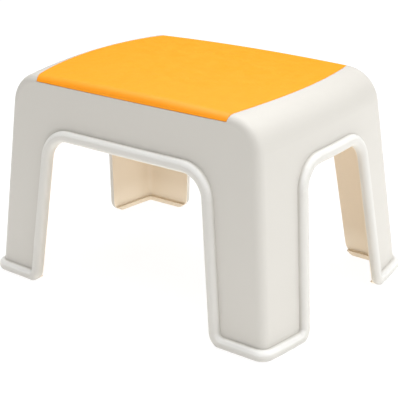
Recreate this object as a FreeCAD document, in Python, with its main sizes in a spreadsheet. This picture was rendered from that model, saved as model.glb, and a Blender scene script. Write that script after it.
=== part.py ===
"""One-step moulded stool: a one-piece plastic shell with four splayed legs, an inlaid
soft seat and four soft anti-slip foot pads.

Frame: +X along the seat, +Y from front to back, +Z up, millimetres.
Origin: centre of the footprint, at floor level.
"""
import FreeCAD, Part
import math
import os

import Sketcher
from FreeCAD import Placement, Rotation, Vector

# Driving dimensions. "half" sizes run from the centre plane, and a "drop" is measured down
# from the top of the seat's crown.
DIMENSIONS = [
    ("seat_height", 220.0),         # floor to the top of the crown
    ("wall_half_length", 179.0),    # end wall at floor level, on the centre plane
    ("wall_half_depth", 124.1),     # long wall at floor level, on the centre plane
    ("end_splay", 25.0),            # how far an end wall leans in over the seat height
    ("long_splay", 21.6),           # the same for a long wall
    ("end_bow_radius", 680.0),      # plan radius of the bowed end walls at floor level
    ("long_bow_radius", 9000.0),    # plan radius of the nearly straight long walls
    ("crown_radius_across", 1400.0),
    ("crown_radius_along", 3400.0),
    ("wall", 2.8),
    ("corner_radius", 9.0),         # vertical corners, and the seat's long edges
    ("shoulder_radius", 35.0),      # seat into end wall
    ("front_leg_floor", 69.0),      # from wall_half_length to the long walls' arches, at the floor
    ("front_leg_top", 87.7),        # the same at the arches' height
    ("front_arch_height", 155.8),
    ("front_arch_corner", 23.0),
    ("end_leg_floor", 60.9),        # from wall_half_depth to the end walls' arches, at the floor
    ("end_leg_top", 78.0),
    ("end_arch_height", 158.1),
    ("end_arch_corner", 21.0),
    ("foot_corner", 15.0),          # where an arch side turns under the foot
    ("bead_proud", 5.5),
    ("bead_width", 11.4),
    ("bead_round", 4.6),            # on both edges of the bead's face
    ("flange_height", 5.4),         # of the foot's inner flange, from the floor
    ("flange_inset", 6.0),          # how far the flange reaches in from the outer wall face
    ("rib_wall", 2.0),
    ("rib_depth", 16.0),
    ("rib_to_peg", 28.0),           # from a corner peg to the next rib, both ways
    ("pad_thickness", 3.0),
    ("pad_end_margin", 24.9),       # on the centre plane, from the end wall's top to the inlay
    ("pad_end_radius", 366.0),      # plan radius of the inlay's bowed ends
    ("pad_edge_drop", 11.0),        # how far down the pad wraps over the long edges
    ("pad_gap", 0.4),               # seam between the pad's edge and the recess
    ("pad_seat_gap", 0.15),         # between the pad and the recess floor
    ("peg_radius", 2.5),
    ("peg_gap", 0.25),
    ("peg_head_radius", 4.5),
    ("peg_head_thickness", 1.6),
    ("peg_end_inset", 37.1),        # corner pegs, from the inlay's end
    ("peg_side_inset", 40.5),       # corner pegs, from the long wall's top
    ("groove_inset", 5.5),          # from the bead's face to the foot pad's groove
    ("groove_width", 4.8),
    ("groove_depth", 2.0),          # above the foot's sole
    ("foot_pad_gap", 0.2),
    ("foot_pad_end_gap", 2.0),      # from the foot's rounded corner to the pad's end
    ("foot_pad_proud", 0.6),        # how far the foot pad stands out under the sole
]

OVERRUN = 6.0    # how far cutting tools run past the faces that they cut
FAR = 400.0      # longer than the stool, for tools that pass right through it
NEAR = 0.5       # how close an edge must run to a face to be counted as lying on it

# Half widths of the arches at the floor and at their height, as expressions of the spreadsheet.
ARCH_HALVES = {
    "front": ("dims.wall_half_length - dims.front_leg_floor", "dims.wall_half_length - dims.front_leg_top"),
    "end": ("dims.wall_half_depth - dims.end_leg_floor", "dims.wall_half_depth - dims.end_leg_top"),
}
# Where things on the seat go, the same way.
PAD_HALF = "dims.wall_half_length - dims.end_splay - dims.pad_end_margin"
PEG_ALONG = PAD_HALF + " - dims.peg_end_inset"
PEG_ACROSS = "dims.wall_half_depth - dims.long_splay - dims.peg_side_inset"
RIB_ALONG = PEG_ALONG + " - dims.rib_to_peg"
RIB_ACROSS = PEG_ACROSS + " - dims.rib_to_peg"

doc = FreeCAD.newDocument("step_stool")


# ---------------------------------------------------------------- spreadsheet

def make_sheet():
    """Put the driving dimensions in a spreadsheet, one aliased cell each."""
    sheet = doc.addObject("Spreadsheet::Sheet", "dims")
    for row, (alias, value) in enumerate(DIMENSIONS, start=1):
        sheet.set("A%d" % row, alias)
        sheet.set("B%d" % row, str(value))
        sheet.setAlias("B%d" % row, alias)
    doc.recompute()
    return sheet


sheet = make_sheet()


def size(alias):
    """A driving dimension, for geometry that is worked out in code."""
    return float(getattr(sheet, alias))


def value_of(expression):
    """The value of a sum of driving dimensions and numbers, written as an expression."""
    total = 0.0
    for term in expression.replace("- ", "-").replace("+ ", "+").split():
        sign = -1.0 if term.startswith("-") else 1.0
        word = term.lstrip("+-")
        total += sign * (size(word[len("dims."):]) if word.startswith("dims.") else float(word))
    return total


# ---------------------------------------------------------------- small helpers

def add(kind, name, **expressions):
    """Add a document object with its sizes bound to the spreadsheet."""
    thing = doc.addObject(kind, name)
    for prop, expression in expressions.items():
        thing.setExpression(prop, str(expression))
    return thing


def common(name, *things):
    result = doc.addObject("Part::MultiCommon", name)
    result.Shapes = list(things)
    return result


def fuse(name, *things):
    result = doc.addObject("Part::MultiFuse", name)
    result.Shapes = list(things)
    return result


def cut(name, base, tool):
    result = doc.addObject("Part::Cut", name)
    result.Base = base
    result.Tool = tool
    return result


def fillet(name, base, radius, wanted):
    """Round every edge of base for which wanted(edge) is true."""
    doc.recompute()
    result = doc.addObject("Part::Fillet", name)
    result.Base = base
    edges = base.Shape.Edges
    result.Edges = [(i, radius, radius) for i, edge in enumerate(edges, start=1) if wanted(edge)]
    return result


def slab(name, low, high):
    """A wide horizontal slab between two heights, each an expression."""
    box = add("Part::Box", name, Length=2 * FAR, Width=2 * FAR, Height="(%s) - (%s)" % (high, low))
    box.setExpression("Placement.Base.x", str(-FAR))
    box.setExpression("Placement.Base.y", str(-FAR))
    box.setExpression("Placement.Base.z", low)
    return box


def middle(edge):
    """The point halfway along an edge."""
    return edge.valueAt(0.5 * (edge.FirstParameter + edge.LastParameter))


# ---------------------------------------------------------------- bowed, splayed blocks

def wall_cone(name, bow, splay, half, inset, turn, axis, side):
    """A very wide cone: one bowed and splayed wall is a strip of its surface.

    turn puts the cone's seam on the far side. axis and side say which wall it is.
    """
    slope = "dims.%s / dims.seat_height" % splay
    cone = add(
        "Part::Cone", name,
        Radius1="dims.%s - (%s) + %s * %g" % (bow, inset, slope, OVERRUN),
        Radius2="dims.%s - (%s) - %s * %g" % (bow, inset, slope, OVERRUN) + " - dims.%s" % splay,
        Height="dims.seat_height + %g" % (2 * OVERRUN),
    )
    cone.Placement = Placement(Vector(0, 0, -OVERRUN), Rotation(Vector(0, 0, 1), turn))
    cone.setExpression("Placement.Base." + axis, "%s * (dims.%s - dims.%s)" % (side, half, bow))
    return cone


def crown(name, inset):
    """A huge ring whose outer rim is the seat's gentle crown in both directions."""
    ring = add(
        "Part::Torus", name,
        Radius1="dims.crown_radius_along - dims.crown_radius_across",
        Radius2="dims.crown_radius_across - (%s)" % inset,
    )
    ring.Placement = Placement(Vector(0, 0, 0), Rotation(Vector(1, 0, 0), 90))
    ring.setExpression("Placement.Base.z", "dims.seat_height - dims.crown_radius_along")
    return ring


def block(name, side_inset, top_inset=None):
    """The stool's outer form, with its walls moved in by side_inset."""
    ends = ("end_bow_radius", "end_splay", "wall_half_length", side_inset)
    longs = ("long_bow_radius", "long_splay", "wall_half_depth", side_inset)
    faces = [
        wall_cone(name + "_right", *ends, turn=180, axis="x", side="1"),
        wall_cone(name + "_left", *ends, turn=0, axis="x", side="-1"),
        wall_cone(name + "_back", *longs, turn=-90, axis="y", side="1"),
        wall_cone(name + "_front", *longs, turn=90, axis="y", side="-1"),
    ]
    if top_inset is not None:
        faces.append(crown(name + "_crown", top_inset))
    return common(name, *faces)


def is_vertical_corner(edge):
    """True for the four sloping corner edges of a block."""
    start, end = edge.Vertexes[0].Point, edge.Vertexes[-1].Point
    return abs(end.z - start.z) > 0.5 * size("seat_height")


def is_shoulder(edge):
    """True for the two edges where the crown meets an end wall."""
    point = middle(edge)
    return point.z > 0.9 * size("seat_height") and abs(point.y) < 1.0


def is_long_rim(edge):
    """True for the edges that run round a long wall: up, over both shoulders and along."""
    points = [vertex.Point for vertex in edge.Vertexes] + [middle(edge)]
    by_long_wall = all(abs(point.y) > 0.5 * size("wall_half_depth") for point in points)
    in_base = all(point.z < 0 for point in points)
    return by_long_wall and not in_base


def rounded_block(name, side_inset, top_inset):
    """A block with its shoulders and its long rims rounded, concentric with the outside."""
    plain = block(name, side_inset, top_inset)
    doc.recompute()
    inset = max(value_of(side_inset), 0.0)
    shoulders = fillet(name + "_shoulders", plain, size("shoulder_radius") - inset, is_shoulder)
    return fillet(name + "_rims", shoulders, size("corner_radius") - inset, is_long_rim)


# ---------------------------------------------------------------- arch outlines

def dimension(sketch, label, expression, *rule):
    """Add a named dimension to a sketch and bind it to the spreadsheet."""
    index = sketch.addConstraint(Sketcher.Constraint(*rule))
    sketch.renameConstraint(index, label)
    sketch.setExpression("Constraints." + label, expression)


def arch_sketch(name, kind, grow, across):
    """The outline of one arch and its turned-under foot corners, grown by an offset.

    across is False for the arches in the long walls and True for those in the end walls.
    """
    offset = value_of(grow)
    at_floor, at_top = ARCH_HALVES[kind]
    floor_half, top_half = value_of(at_floor), value_of(at_top)
    height, corner, foot = size(kind + "_arch_height"), size(kind + "_arch_corner"), size("foot_corner")
    lean = math.atan2(floor_half - top_half, height)

    def side(z):
        return floor_half - z * math.tan(lean)

    foot_x = side(foot) + foot / math.cos(lean)
    corner_x = side(height - corner) - corner / math.cos(lean)
    foot_r, corner_r = foot - offset, corner + offset

    def on_arc(x, z, radius, angle):
        return Vector(x + radius * math.cos(angle), z + radius * math.sin(angle), 0)

    def mirrored(point):
        return Vector(-point.x, point.y, 0)

    low = Vector(foot_x, -OVERRUN, 0)
    toe = Vector(foot_x, offset, 0)
    ankle = on_arc(foot_x, foot, foot_r, math.pi + lean)
    knee = on_arc(corner_x, height - corner, corner_r, lean)
    top = Vector(corner_x, height + offset, 0)

    sketch = doc.addObject("Sketcher::SketchObject", name)
    normal = Vector(0, 0, 1)

    def line(start, end):
        return sketch.addGeometry(Part.LineSegment(start, end), False)

    def arc(x, z, radius, first, last):
        circle = Part.Circle(Vector(x, z, 0), normal, radius)
        return sketch.addGeometry(Part.ArcOfCircle(circle, first, last), False)

    bottom = line(mirrored(low), low)
    right_rise = line(low, toe)
    right_foot = arc(foot_x, foot, foot_r, math.pi + lean, 1.5 * math.pi)
    right_side = line(ankle, knee)
    right_corner = arc(corner_x, height - corner, corner_r, lean, 0.5 * math.pi)
    top_line = line(top, mirrored(top))
    left_corner = arc(-corner_x, height - corner, corner_r, 0.5 * math.pi, math.pi - lean)
    left_side = line(mirrored(knee), mirrored(ankle))
    left_foot = arc(-foot_x, foot, foot_r, 1.5 * math.pi, 2 * math.pi - lean)
    left_rise = line(mirrored(toe), mirrored(low))
    right_guide = sketch.addGeometry(
        Part.LineSegment(Vector(floor_half, 0, 0), Vector(top_half, height, 0)), True)
    left_guide = sketch.addGeometry(
        Part.LineSegment(Vector(-floor_half, 0, 0), Vector(-top_half, height, 0)), True)

    rules = [
        ("Coincident", bottom, 2, right_rise, 1),
        ("Coincident", right_rise, 2, right_foot, 2),
        ("Tangent", right_foot, 1, right_side, 1),
        ("Tangent", right_side, 2, right_corner, 1),
        ("Tangent", right_corner, 2, top_line, 1),
        ("Tangent", top_line, 2, left_corner, 1),
        ("Tangent", left_corner, 2, left_side, 1),
        ("Tangent", left_side, 2, left_foot, 2),
        ("Coincident", left_foot, 1, left_rise, 1),
        ("Coincident", left_rise, 2, bottom, 1),
        ("Horizontal", bottom),
        ("Vertical", right_rise),
        ("Vertical", left_rise),
        ("Equal", right_foot, left_foot),
        ("Equal", right_corner, left_corner),
        ("Symmetric", right_corner, 3, left_corner, 3, -2),
        ("Symmetric", right_foot, 3, left_foot, 3, -2),
        ("Symmetric", right_guide, 1, left_guide, 1, -2),
        ("Symmetric", right_guide, 2, left_guide, 2, -2),
        ("Vertical", right_foot, 2, right_foot, 3),
        ("Vertical", left_foot, 1, left_foot, 3),
        ("PointOnObject", right_guide, 1, -1),
    ]
    for rule in rules:
        sketch.addConstraint(Sketcher.Constraint(*rule))

    arch = "dims.%s_arch" % kind
    dimension(sketch, "floor_half", at_floor, "DistanceX", -1, 1, right_guide, 1, floor_half)
    dimension(sketch, "top_half", at_top, "DistanceX", -1, 1, right_guide, 2, top_half)
    dimension(sketch, "guide_height", arch + "_height", "DistanceY", -1, 1, right_guide, 2, height)
    dimension(sketch, "crest", "%s_height + %s" % (arch, grow),
              "DistanceY", -1, 1, top_line, 1, height + offset)
    dimension(sketch, "corner", "%s_corner + %s" % (arch, grow), "Radius", right_corner, corner_r)
    dimension(sketch, "corner_reach", arch + "_corner", "Distance", right_corner, 3, right_guide, corner)
    dimension(sketch, "foot", "dims.foot_corner - (%s)" % grow, "Radius", right_foot, foot_r)
    dimension(sketch, "foot_reach", "dims.foot_corner", "Distance", right_foot, 3, right_guide, foot)
    dimension(sketch, "foot_height", "dims.foot_corner", "DistanceY", -1, 1, right_foot, 3, foot)
    dimension(sketch, "overrun", str(OVERRUN), "DistanceY", bottom, 1, -1, 1, OVERRUN)

    turn = Rotation(Vector(1, 0, 0), 90)
    if across:
        turn = Rotation(Vector(0, 0, 1), 90) * turn
    sketch.Placement = Placement(Vector(0, 0, 0), turn)
    return sketch


def arch_tool(name, kind, grow, across):
    """An arch outline drawn out right through the stool."""
    sketch = arch_sketch(name + "_outline", kind, grow, across)
    tool = doc.addObject("Part::Extrusion", name)
    tool.Base = sketch
    tool.DirMode = "Normal"
    tool.LengthFwd = 2 * FAR
    tool.Symmetric = True
    tool.Solid = True
    return tool


def both_arches(name, grow):
    return [
        arch_tool(name + "_front", "front", grow, False),
        arch_tool(name + "_end", "end", grow, True),
    ]


# ---------------------------------------------------------------- shell

def bead_zone(name, grow):
    """Everything within the given distance of an opening's edge or of the floor."""
    return fuse(name, *both_arches(name, grow), slab(name + "_floor", "-%g" % OVERRUN, grow))


def bead_block(name, side_inset):
    """A block for the bead's faces: tall enough for the arches, with rounded corners."""
    plain = block(name, side_inset)
    radius = max(size("corner_radius") - value_of(side_inset), 0.5)
    return fillet(name + "_corners", plain, radius, is_vertical_corner)


def make_outside():
    """The shell's outer skin as one solid, with its arches cut and its bead fully rounded."""
    body = rounded_block("outside", "0", "0")
    band = common("bead_band", bead_block("bead_outside", "-dims.bead_proud"),
                  bead_zone("bead_zone", "dims.bead_width"))
    skin = fuse("skin", body, band)
    above_floor = common("above_floor", skin, slab("floor_up", "dims.foot_pad_proud", "dims.seat_height + 1"))
    opened = cut("opened", above_floor, fuse("arches", *both_arches("arch", "0")))

    behind_face = bead_block("behind_bead", "%g - dims.bead_proud" % NEAR)
    by_opening = bead_zone("by_opening", "dims.foot_pad_proud + %g" % NEAR)
    crests = [size(kind + "_arch_height") + size("bead_width") for kind in ("front", "end")]

    def on_bead_face(point):
        return not behind_face.Shape.isInside(point, 0.01, True)

    def is_over_arch(edge):
        """The bead's outer edge over each arch; the rest of that edge runs on smoothly from it."""
        point = middle(edge)
        on_centre = min(abs(point.x), abs(point.y)) < NEAR
        at_crest = any(abs(point.z - crest) < NEAR for crest in crests)
        return on_centre and at_crest and on_bead_face(point)

    def is_lip(edge):
        """The bead's inner edge, round the openings and under the feet."""
        point = middle(edge)
        return on_bead_face(point) and by_opening.Shape.isInside(point, 0.01, True)

    radius = min(size("bead_round"), 0.85 * size("bead_proud"), 0.45 * size("bead_width"))
    outer_rounded = fillet("bead_rounded", opened, radius, is_over_arch)
    return body, fillet("beaded", outer_rounded, radius, is_lip)


def make_ribs():
    """The stiffening grid under the seat, as boxes that the hollow is cut back by."""
    deck = "dims.pad_thickness + dims.pad_seat_gap + dims.wall"
    low = "dims.seat_height - (%s) - dims.rib_depth" % deck
    ribs = []
    for number, across in enumerate((-1, 1)):
        rib = add("Part::Box", "rib_along_%d" % number,
                  Length=2 * FAR, Width="dims.rib_wall", Height="dims.rib_depth + %g" % OVERRUN)
        rib.setExpression("Placement.Base.x", str(-FAR))
        rib.setExpression("Placement.Base.y", "%d * (%s) - dims.rib_wall / 2" % (across, RIB_ACROSS))
        rib.setExpression("Placement.Base.z", low)
        ribs.append(rib)
    for number, along in enumerate((-1, 0, 1)):
        rib = add("Part::Box", "rib_across_%d" % number,
                  Length="dims.rib_wall", Width=2 * FAR, Height="dims.rib_depth + %g" % OVERRUN)
        rib.setExpression("Placement.Base.x", "%d * (%s) - dims.rib_wall / 2" % (along, RIB_ALONG))
        rib.setExpression("Placement.Base.y", str(-FAR))
        rib.setExpression("Placement.Base.z", low)
        ribs.append(rib)
    return fuse("ribs", *ribs)


def make_flange():
    """A low collar inside the foot of each wall, which gives the soles their width."""
    return cut("flange", slab("flange_slab", "-%g" % OVERRUN, "dims.flange_height"),
               bead_block("flange_inside", "dims.flange_inset"))


def make_hollow():
    """What is taken out from below: the inside, less the ribs and the foot flange."""
    deck = "dims.wall + dims.pad_thickness + dims.pad_seat_gap"
    inside = rounded_block("inside", "dims.wall", deck)
    return cut("hollow", inside, fuse("kept_inside", make_ribs(), make_flange()))


def make_shell(body, recess, peg_holes, grooves):
    """The one-piece moulding: skin, less the hollow, the inlay's seat and the foot grooves."""
    shelled = cut("shelled", body, make_hollow())
    return cut("stool_shell", shelled, fuse("seats", recess, peg_holes, *grooves))


# ---------------------------------------------------------------- seat inlay

def pad_outline(name, gap):
    """The inlay's plan, grown by gap: bowed ends, and sides that run past the long walls."""
    reach = size("wall_half_depth")
    radius = size("pad_end_radius") + value_of(gap)
    centre = value_of(PAD_HALF) - size("pad_end_radius")
    angle = math.asin(reach / radius)
    reach_x = centre + radius * math.cos(angle)
    sketch = doc.addObject("Sketcher::SketchObject", name)
    circle_right = Part.Circle(Vector(centre, 0, 0), Vector(0, 0, 1), radius)
    circle_left = Part.Circle(Vector(-centre, 0, 0), Vector(0, 0, 1), radius)
    front = sketch.addGeometry(
        Part.LineSegment(Vector(-reach_x, -reach, 0), Vector(reach_x, -reach, 0)), False)
    right = sketch.addGeometry(Part.ArcOfCircle(circle_right, -angle, angle), False)
    back = sketch.addGeometry(
        Part.LineSegment(Vector(reach_x, reach, 0), Vector(-reach_x, reach, 0)), False)
    left = sketch.addGeometry(Part.ArcOfCircle(circle_left, math.pi - angle, math.pi + angle), False)
    rules = [
        ("Coincident", front, 2, right, 1),
        ("Coincident", right, 2, back, 1),
        ("Coincident", back, 2, left, 1),
        ("Coincident", left, 2, front, 1),
        ("Horizontal", front),
        ("Symmetric", front, 1, back, 2, -1),
        ("Symmetric", right, 3, left, 3, -2),
        ("Equal", right, left),
    ]
    for rule in rules:
        sketch.addConstraint(Sketcher.Constraint(*rule))
    dimension(sketch, "bow", "dims.pad_end_radius + %s" % gap, "Radius", right, radius)
    dimension(sketch, "place", "dims.pad_end_radius - (%s)" % PAD_HALF,
              "DistanceX", right, 3, -1, 1, -centre)
    dimension(sketch, "reach", "dims.wall_half_depth", "DistanceY", front, 1, -1, 1, reach)
    return sketch


def pad_prism(name, gap):
    """The inlay's plan drawn up from its lower edge, which is gap lower for the recess."""
    prism = doc.addObject("Part::Extrusion", name)
    prism.Base = pad_outline(name + "_outline", gap)
    prism.DirMode = "Custom"
    prism.Dir = Vector(0, 0, 1)
    prism.LengthFwd = FAR
    prism.Solid = True
    prism.setExpression("Placement.Base.z", "dims.seat_height - dims.pad_edge_drop - (%s)" % gap)
    return prism


# Corner pegs, then one at each side of the middle, between the ribs: (x, y) expressions.
PEG_PLACES = [
    ("%d * (%s)" % (along, PEG_ALONG), "%d * (%s)" % (across, PEG_ACROSS))
    for along in (-1, 1) for across in (-1, 1)
] + [("%d * (%s) / 2" % (along, RIB_ALONG), "0") for along in (-1, 1)]


def pegs(name, radius, low, high):
    """Upright cylinders at every peg, between two depths under the inlay's top surface."""
    cylinders = []
    for number, (x, y) in enumerate(PEG_PLACES, start=1):
        drop = "(%s)^2 / (2 * dims.crown_radius_along) + (%s)^2 / (2 * dims.crown_radius_across)" % (x, y)
        cylinder = add("Part::Cylinder", "%s_%d" % (name, number),
                       Radius=radius, Height="(%s) - (%s)" % (low, high))
        cylinder.setExpression("Placement.Base.x", x)
        cylinder.setExpression("Placement.Base.y", y)
        cylinder.setExpression("Placement.Base.z", "dims.seat_height - (%s) - (%s)" % (drop, low))
        cylinders.append(cylinder)
    return fuse(name + "s", *cylinders)


def make_inlay(outside):
    """The soft inlay: a skin of even thickness with staked pegs through the seat."""
    floor = rounded_block("pad_floor", "dims.pad_thickness", "dims.pad_thickness")
    skin = cut("pad_skin", common("pad_form", outside, pad_prism("pad_plan", "0")), floor)
    head_top = "dims.pad_thickness + dims.pad_seat_gap + dims.wall + dims.peg_gap"
    head_low = head_top + " + dims.peg_head_thickness"
    stems = pegs("peg_stem", "dims.peg_radius", head_low, "dims.pad_thickness / 2")
    heads = pegs("peg_head", "dims.peg_head_radius", head_low, head_top)
    return fuse("seat_inlay", skin, stems, heads)


def make_inlay_seat():
    """What the shell gives up to the inlay: a shallow recess and the holes for its pegs."""
    depth = "dims.pad_thickness + dims.pad_seat_gap"
    floor = rounded_block("recess_floor", depth, depth)
    recess = cut("recess", pad_prism("recess_plan", "dims.pad_gap"), floor)
    through = depth + " + 2 * dims.wall"
    return recess, pegs("peg_hole", "dims.peg_radius + dims.peg_gap", through, "0")


# ---------------------------------------------------------------- foot pads

FEET = {
    "front_left": (-1, -1),
    "front_right": (1, -1),
    "back_left": (-1, 1),
    "back_right": (1, 1),
}


def foot_layer(name, low, high, gap):
    """A flat ring that follows the bead round all four feet, less gap on every side."""
    outer = "dims.groove_inset - dims.bead_proud + " + gap
    inner = "dims.groove_inset - dims.bead_proud + dims.groove_width - " + gap
    ring = cut(name + "_ring", bead_block(name + "_outside", outer), bead_block(name + "_inside", inner))
    return common(name, ring, slab(name + "_slab", low, high))


def quarter(name, along, across, gap):
    """The space round one foot, from gap past where its sole turns up into the arches."""
    box = add("Part::Box", name, Length=FAR, Width=FAR, Height=FAR)
    past_arch = " + dims.foot_corner + dims.foot_pad_end_gap + " + gap
    for axis, kind, side in (("x", "front", along), ("y", "end", across)):
        near = ARCH_HALVES[kind][0] + past_arch
        box.setExpression("Placement.Base." + axis, near if side > 0 else "-(%s) - %g" % (near, FAR))
    return box


def make_foot_pads():
    """The grooves in the four soles, and the L-shaped soft strips that fill them."""
    groove_top = "dims.foot_pad_proud + dims.groove_depth"
    groove_layer = foot_layer("groove", "-%g" % OVERRUN, groove_top, "0")
    pad_layer = foot_layer("foot", "0", groove_top, "dims.foot_pad_gap")
    grooves = []
    pads = []
    for place, sides in FEET.items():
        grooves.append(common("groove_" + place, groove_layer, quarter("groove_box_" + place, *sides, gap="0")))
        pads.append(common("foot_pad_" + place, pad_layer,
                           quarter("pad_box_" + place, *sides, gap="dims.foot_pad_gap")))
    return grooves, pads


# ---------------------------------------------------------------- build, check, write

def check_document():
    """Stop if any object of the document failed to compute."""
    for thing in doc.Objects:
        bad = [word for word in thing.State if word in ("Invalid", "Error")]
        if bad:
            raise RuntimeError("%s is %s" % (thing.Name, ", ".join(bad)))


def write(pieces):
    """Label each finished piece, check its solid and write it out."""
    os.makedirs("parts", exist_ok=True)
    for piece in pieces:
        piece.Label = piece.Name
        shape = piece.Shape
        if shape.isNull() or not shape.isValid() or len(shape.Solids) != 1:
            raise RuntimeError("%s is not one valid solid" % piece.Label)
    for piece in pieces:
        piece.Shape.exportStep("parts/%s.step" % piece.Label)
        print("%-24s %9.1f mm3" % (piece.Label, piece.Shape.Volume))


outside, beaded = make_outside()
foot_grooves, foot_pads = make_foot_pads()
shell = make_shell(beaded, *make_inlay_seat(), foot_grooves)
seat_inlay = make_inlay(outside)
doc.recompute()
check_document()
write([shell, seat_inlay, *foot_pads])
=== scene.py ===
import math

import bpy
from mathutils import Matrix, Vector

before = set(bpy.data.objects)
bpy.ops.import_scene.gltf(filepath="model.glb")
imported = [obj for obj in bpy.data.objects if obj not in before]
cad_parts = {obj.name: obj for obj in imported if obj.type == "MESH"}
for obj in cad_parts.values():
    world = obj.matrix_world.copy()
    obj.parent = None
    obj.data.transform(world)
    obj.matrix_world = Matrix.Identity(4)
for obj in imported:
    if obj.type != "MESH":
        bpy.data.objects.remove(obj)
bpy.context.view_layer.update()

# Camera: where it looks, from how far, and the lens in units of the image's width.
LOOK_AT = (0.00151, 0.0, 0.07909)
AZIMUTH, ELEVATION, ROLL = 38.068, 21.883, -1.197
DISTANCE = 1.11175
FOCAL = 2.70302
SHIFT = (0.00595, -0.00527)
SENSOR = 36.0

COOL_WHITE = (0.96, 0.985, 1.0)

# The stool's outer form in metres, for materials that change from the outside to the inside.
HEIGHT = 0.22
END_WALL, END_SPLAY, END_BOW = 0.179, 0.025, 0.68
LONG_WALL, LONG_SPLAY, LONG_BOW = 0.1241, 0.0216, 9.0
CROWN_ACROSS, CROWN_ALONG = 1.4, 3.4
CORNER_RADIUS, SHOULDER_RADIUS = 0.009, 0.035


# ---------------------------------------------------------------- camera, floor and light

def add_camera():
    az, el, roll = (math.radians(angle) for angle in (AZIMUTH, ELEVATION, ROLL))
    back = Vector((math.sin(az) * math.cos(el), -math.cos(az) * math.cos(el), math.sin(el)))
    level = Vector((math.cos(az), math.sin(az), 0.0))
    rise = back.cross(level)
    right = level * math.cos(roll) + rise * math.sin(roll)
    up = rise * math.cos(roll) - level * math.sin(roll)
    camera = bpy.data.objects.new("camera", bpy.data.cameras.new("camera"))
    bpy.context.scene.collection.objects.link(camera)
    place = Matrix((right, up, back)).transposed().to_4x4()
    place.translation = Vector(LOOK_AT) + back * DISTANCE
    camera.matrix_world = place
    camera.data.sensor_width = SENSOR
    camera.data.lens = FOCAL * SENSOR
    camera.data.shift_x, camera.data.shift_y = SHIFT
    camera.data.clip_end = 50.0
    bpy.context.scene.camera = camera


def add_world(fill):
    """White to the camera; an even fill for everything else, reflections included."""
    world = bpy.data.worlds.new("studio")
    bpy.context.scene.world = world
    world.use_nodes = True
    tree = world.node_tree
    tree.nodes.clear()
    out = tree.nodes.new("ShaderNodeOutputWorld")
    seen = tree.nodes.new("ShaderNodeBackground")
    seen.inputs["Color"].default_value = (1.0, 1.0, 1.0, 1.0)
    soft = tree.nodes.new("ShaderNodeBackground")
    soft.inputs["Color"].default_value = (1.0, 0.985, 0.96, 1.0)
    soft.inputs["Strength"].default_value = fill
    path = tree.nodes.new("ShaderNodeLightPath")
    mix = tree.nodes.new("ShaderNodeMixShader")
    tree.links.new(path.outputs["Is Camera Ray"], mix.inputs[0])
    tree.links.new(soft.outputs[0], mix.inputs[1])
    tree.links.new(seen.outputs[0], mix.inputs[2])
    tree.links.new(mix.outputs[0], out.inputs[0])


def add_floor(table_glow):
    """A white light table that keeps a faint share of the stool's shadow."""
    reach, shadow_share, tone = 6.0, 0.16, 0.86
    mesh = bpy.data.meshes.new("floor")
    mesh.from_pydata([(-reach, -reach, 0), (reach, -reach, 0), (reach, reach, 0), (-reach, reach, 0)],
                     [], [(0, 1, 2, 3)])
    floor = bpy.data.objects.new("floor", mesh)
    bpy.context.scene.collection.objects.link(floor)
    material = bpy.data.materials.new("studio_floor")
    material.use_nodes = True
    tree = material.node_tree
    paper = tree.nodes["Principled BSDF"]
    paper.inputs["Base Color"].default_value = (tone, tone, tone, 1.0)
    paper.inputs["Roughness"].default_value = 0.9
    white = tree.nodes.new("ShaderNodeEmission")
    white.inputs["Color"].default_value = (1.0, 1.0, 1.0, 1.0)
    glow = tree.nodes.new("ShaderNodeEmission")
    glow.inputs["Color"].default_value = (1.0, 0.985, 0.95, 1.0)
    glow.inputs["Strength"].default_value = table_glow
    lit_paper = tree.nodes.new("ShaderNodeAddShader")
    tree.links.new(paper.outputs[0], lit_paper.inputs[0])
    tree.links.new(glow.outputs[0], lit_paper.inputs[1])
    path = tree.nodes.new("ShaderNodeLightPath")
    share = tree.nodes.new("ShaderNodeMath")
    share.operation = "MULTIPLY"
    share.inputs[1].default_value = 1.0 - shadow_share
    mix = tree.nodes.new("ShaderNodeMixShader")
    tree.links.new(path.outputs["Is Camera Ray"], share.inputs[0])
    tree.links.new(share.outputs[0], mix.inputs[0])
    tree.links.new(lit_paper.outputs[0], mix.inputs[1])
    tree.links.new(white.outputs[0], mix.inputs[2])
    tree.links.new(mix.outputs[0], tree.nodes["Material Output"].inputs[0])
    mesh.materials.append(material)


def add_lamp(name, place, size, energy, color=(1.0, 1.0, 1.0), target=(0.0, 0.0, 0.12)):
    lamp = bpy.data.objects.new(name, bpy.data.lights.new(name, "AREA"))
    bpy.context.scene.collection.objects.link(lamp)
    lamp.data.shape = "RECTANGLE"
    lamp.data.size, lamp.data.size_y = size
    lamp.data.energy = energy
    lamp.data.color = color
    lamp.location = place
    lamp.rotation_euler = (Vector(target) - Vector(place)).to_track_quat("-Z", "Y").to_euler()


# ---------------------------------------------------------------- materials

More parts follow.
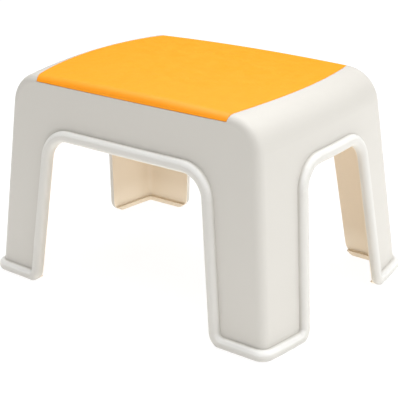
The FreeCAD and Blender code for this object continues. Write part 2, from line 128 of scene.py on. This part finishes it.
class Graph:
    """A material's node tree, with short calls for the nodes used here."""

    def __init__(self, name):
        self.material = bpy.data.materials.new(name)
        self.material.use_nodes = True
        self.tree = self.material.node_tree
        self.surface = self.tree.nodes["Principled BSDF"]
        self.place = self.tree.nodes.new("ShaderNodeTexCoord").outputs["Object"]

    def put(self, socket, value):
        if hasattr(value, "links"):
            self.tree.links.new(value, socket)
        else:
            socket.default_value = value

    def math(self, operation, *values):
        node = self.tree.nodes.new("ShaderNodeMath")
        node.operation = operation
        for socket, value in zip(node.inputs, values):
            self.put(socket, value)
        return node.outputs[0]

    def blend(self, low, high, amount):
        """Mix of two colours by amount."""
        node = self.tree.nodes.new("ShaderNodeMix")
        node.data_type = "RGBA"
        self.put(node.inputs["Factor"], amount)
        for name, value in (("A", low), ("B", high)):
            socket = next(s for s in node.inputs if s.name == name and s.type == "RGBA")
            self.put(socket, value if hasattr(value, "links") else (*value, 1.0))
        return next(s for s in node.outputs if s.type == "RGBA")

    def span(self, value, low, high, to_low=0.0, to_high=1.0):
        """value from low..high to to_low..to_high, smoothly and clamped."""
        node = self.tree.nodes.new("ShaderNodeMapRange")
        node.interpolation_type = "SMOOTHSTEP"
        for socket, number in zip(node.inputs, (value, low, high, to_low, to_high)):
            self.put(socket, number)
        return node.outputs["Result"]

    def noise(self, size, detail=2.0):
        """Noise with features of about this size in metres."""
        node = self.tree.nodes.new("ShaderNodeTexNoise")
        self.tree.links.new(self.place, node.inputs["Vector"])
        node.inputs["Scale"].default_value = 1.0 / size
        node.inputs["Detail"].default_value = detail
        return node.outputs[0]

    def bump(self, height, depth, strength=1.0, under=None):
        node = self.tree.nodes.new("ShaderNodeBump")
        node.inputs["Strength"].default_value = strength
        node.inputs["Distance"].default_value = depth
        self.put(node.inputs["Height"], height)
        if under is not None:
            self.tree.links.new(under, node.inputs["Normal"])
        return node.outputs[0]

    def axes(self):
        node = self.tree.nodes.new("ShaderNodeSeparateXYZ")
        self.tree.links.new(self.place, node.inputs[0])
        return node.outputs[0], node.outputs[1], node.outputs[2]

    def upward(self):
        """How far the surface faces up: 1 on top, 0 on a wall, -1 underneath."""
        geometry = self.tree.nodes.new("ShaderNodeNewGeometry")
        node = self.tree.nodes.new("ShaderNodeSeparateXYZ")
        self.tree.links.new(geometry.outputs["Normal"], node.inputs[0])
        return node.outputs[2]

    def depth_inside(self):
        """How far a point lies inside the stool's outer walls and seat, in metres."""
        x, y, z = self.axes()
        across, along = self.math("ABSOLUTE", y), self.math("ABSOLUTE", x)

        def from_wall(half, splay, bow, reach, other):
            lean = self.math("MULTIPLY", z, splay / HEIGHT)
            sag = self.math("MULTIPLY", self.math("MULTIPLY", other, other), 0.5 / bow)
            wall = self.math("SUBTRACT", self.math("SUBTRACT", half, lean), sag)
            return self.math("SUBTRACT", wall, reach)

        ends = from_wall(END_WALL, END_SPLAY, END_BOW, along, y)
        longs = from_wall(LONG_WALL, LONG_SPLAY, LONG_BOW, across, x)
        fall_x = self.math("MULTIPLY", self.math("MULTIPLY", x, x), 0.5 / CROWN_ALONG)
        fall_y = self.math("MULTIPLY", self.math("MULTIPLY", y, y), 0.5 / CROWN_ACROSS)
        crown = self.math("SUBTRACT", self.math("SUBTRACT", HEIGHT, fall_x), fall_y)
        top = self.math("SUBTRACT", crown, z)

        def rounded(a, b, radius):
            """The lesser of two depths, with their corner rounded off."""
            short = [self.math("MAXIMUM", self.math("SUBTRACT", radius, value), 0.0) for value in (a, b)]
            squares = [self.math("MULTIPLY", value, value) for value in short]
            return self.math("SUBTRACT", radius, self.math("SQRT", self.math("ADD", *squares)))

        corner = rounded(ends, longs, CORNER_RADIUS)
        shoulder = rounded(ends, top, SHOULDER_RADIUS)
        long_edge = rounded(longs, top, CORNER_RADIUS)
        return self.math("MINIMUM", self.math("MINIMUM", corner, shoulder), long_edge)


def shell_plastic():
    """Off-white polypropylene: satin walls, a smoother rim a touch lighter than the walls with a painted
    highlight where it faces up, painted shade low on the outside at the feet, and painted warm light
    inside the legs.
    """
    g = Graph("shell_plastic")
    # The third colour here is painted shade for the outside low down at the feet.
    wall, wall_cloud, painted_foot_shade = (0.612, 0.590, 0.548), (0.60, 0.575, 0.53), (0.440, 0.425, 0.400)
    # The second rim colour is a painted highlight for where the rim faces up.
    rim, rim_painted_highlight = (0.640, 0.624, 0.588), (0.810, 0.802, 0.778)
    # Painted warm light for the inside of the legs, lighter still towards the floor.
    inside, inside_painted_light_low = (0.790, 0.685, 0.548), (0.900, 0.810, 0.680)
    depth, height = g.depth_inside(), g.axes()[2]

    # Where each colour goes. The rim stands proud of the walls, so its depth is below zero.
    # Painted highlight: the rim turns lighter where its surface faces up.
    painted_highlight_facing_up = g.span(g.upward(), 0.0, 0.5)
    inner = g.span(depth, 0.0018, 0.0025)
    beyond_wall = g.span(depth, -0.0034, -0.0004, 1.0, 0.0)
    below_shoulder = g.span(height, 0.168, 0.178, 1.0, 0.0)
    proud = g.math("MULTIPLY", beyond_wall, below_shoulder)
    # Painted shade: the outside darkens towards the floor, but not on the inner faces.
    near_floor = g.span(height, 0.0005, 0.0085, 0.9, 0.0)
    not_inside = g.span(depth, 0.0005, 0.0020, 1.0, 0.0)
    painted_shade_at_feet = g.math("MULTIPLY", near_floor, not_inside)
    # Painted light: the inside gets lighter towards the floor.
    low_painted_light_mask = g.span(height, 0.006, 0.040, 1.0, 0.0)

    outside = g.blend(wall, g.blend(rim, rim_painted_highlight, painted_highlight_facing_up), proud)
    outside = g.blend(outside, painted_foot_shade, painted_shade_at_feet)
    cloud = g.span(g.noise(0.045, 3.0), 0.3, 0.7)
    outside = g.blend(outside, wall_cloud, g.math("MULTIPLY", cloud, 0.1))
    # The painted warm light inside replaces the plastic's own colour there.
    inner_painted_light = g.blend(inside, inside_painted_light_low, low_painted_light_mask)
    g.put(g.surface.inputs["Base Color"], g.blend(outside, inner_painted_light, inner))

    satin = g.span(g.noise(0.012, 4.0), 0.3, 0.75, 0.44, 0.47)
    polish = g.math("MULTIPLY", proud, -0.10)
    dullness = g.math("MULTIPLY", inner, 0.12)
    roughness = g.math("ADD", g.math("ADD", satin, polish), dullness)
    g.put(g.surface.inputs["Roughness"], roughness)
    g.put(g.surface.inputs["Normal"], g.bump(g.noise(0.0006, 2.0), 0.00003, 0.5))
    g.surface.inputs["Specular IOR Level"].default_value = 0.35
    g.surface.inputs["IOR"].default_value = 1.49
    return g.material


def pad_plastic():
    """Orange soft-touch elastomer with a fine leather-like grain."""
    g = Graph("pad_plastic")
    body, deep = (1.0, 0.345, 0.010), (0.99, 0.335, 0.009)
    cloud = g.span(g.noise(0.012, 2.0), 0.3, 0.7)
    g.put(g.surface.inputs["Base Color"], g.blend(body, deep, cloud))
    g.put(g.surface.inputs["Roughness"], g.span(g.noise(0.009, 4.0), 0.3, 0.75, 0.46, 0.56))
    fine = g.bump(g.noise(0.0005, 2.0), 0.00003, 0.6)
    g.put(g.surface.inputs["Normal"], g.bump(g.noise(0.0018, 2.0), 0.00004, 0.35, under=fine))
    g.surface.inputs["IOR"].default_value = 1.45
    return g.material


def foot_rubber():
    """Matt off-white thermoplastic rubber."""
    g = Graph("foot_rubber")
    cloud = g.span(g.noise(0.006, 3.0), 0.3, 0.7)
    g.put(g.surface.inputs["Base Color"], g.blend((0.60, 0.58, 0.54), (0.54, 0.52, 0.48), cloud))
    g.put(g.surface.inputs["Roughness"], g.span(g.noise(0.002, 3.0), 0.3, 0.7, 0.68, 0.8))
    g.put(g.surface.inputs["Normal"], g.bump(g.noise(0.0005, 2.0), 0.00005, 0.6))
    return g.material


def dress(node, material):
    node.data.materials.clear()
    node.data.materials.append(material)
    node.data.polygons.foreach_set("use_smooth", [True] * len(node.data.polygons))


# ---------------------------------------------------------------- scene

add_camera()
add_world(fill=0.03)
add_floor(table_glow=0.62)
add_lamp("overhead", (0.0, 0.1, 2.2), (2.6, 2.6), 84.0)
add_lamp("right", (2.3, 0.0, 1.1), (2.0, 1.8), 19.5, color=COOL_WHITE)
add_lamp("back_right", (1.3, 1.3, 2.0), (1.4, 1.4), 6.0)

shell, inlay, feet = shell_plastic(), pad_plastic(), foot_rubber()
materials = {"stool_shell": shell, "seat_inlay": inlay}
for name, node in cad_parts.items():
    dress(node, materials.get(name, feet))

bpy.context.scene.view_settings.view_transform = "Standard"
